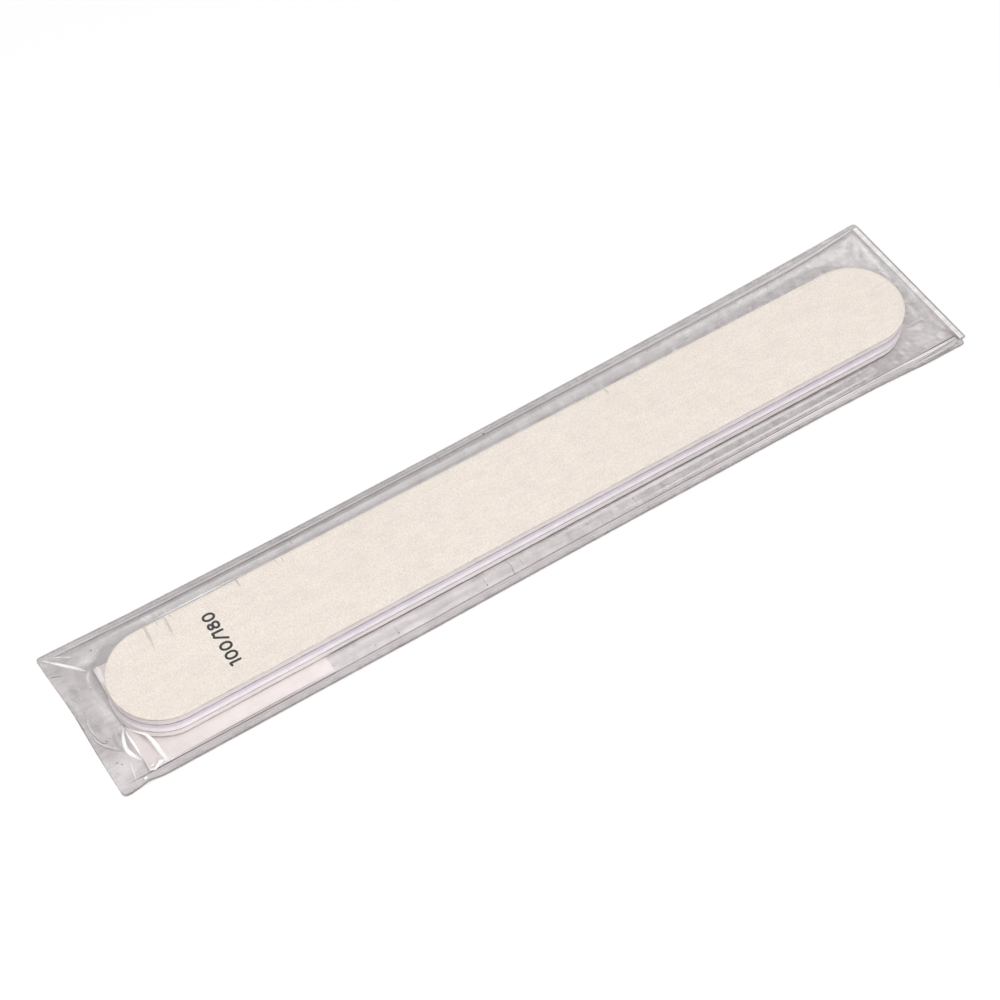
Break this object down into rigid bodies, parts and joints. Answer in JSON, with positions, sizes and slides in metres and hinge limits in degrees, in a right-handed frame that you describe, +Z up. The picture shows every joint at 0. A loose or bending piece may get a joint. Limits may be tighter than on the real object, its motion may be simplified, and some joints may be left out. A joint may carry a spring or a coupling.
{
  "type": "nail file",
  "caption": "Straight cushion nail file with round ends, cut from foam, plastic core and abrasive paper, lying in a clear film sleeve that is welded on three sides and open at one end.",
  "frame": {"origin": "on the surface that the sleeve lies on, under the middle of the sleeve", "axes": "+X along the file, from the sleeve's open mouth to its welded end; +Y across it; +Z up, out of the printed abrasive face"},
  "size_m": [0.1934, 0.0376, 0.0071],
  "materials": {
    "abrasive_paper": "cream abrasive grit on paper, matte",
    "glue_film": "thin grey adhesive film",
    "cushion_foam": "pink-grey closed-cell foam, cut edge",
    "core_plastic": "lilac-white glossy sheet",
    "clear_film": "clear glossy vinyl film",
    "weld_film": "fused vinyl, lightly embossed",
    "label_paper": "plain white label stock",
    "grit_ink": "black printing ink"
  },
  "bodies": {
    "sleeve": {"sleeve_back_film": "clear_film", "sleeve_front_film": "clear_film", "far_side_weld": "weld_film", "near_side_weld": "weld_film", "closed_end_weld": "weld_film", "label_glue": "glue_film", "label_paper": "label_paper"},
    "file": {"bottom_abrasive_paper": "abrasive_paper", "bottom_paper_glue": "glue_film", "bottom_foam_pad": "cushion_foam", "bottom_core_glue": "glue_film", "core_board": "core_plastic", "top_core_glue": "glue_film", "top_foam_pad": "cushion_foam", "top_paper_glue": "glue_film", "top_abrasive_paper": "abrasive_paper"}
  },
  "joints": [
    {"name": "file_slide", "type": "slide", "parent": "sleeve", "child": "file", "axis": [-1, 0, 0], "range_m": [0, 0.19], "deforming": ["sleeve_front_film"]}
  ]
}
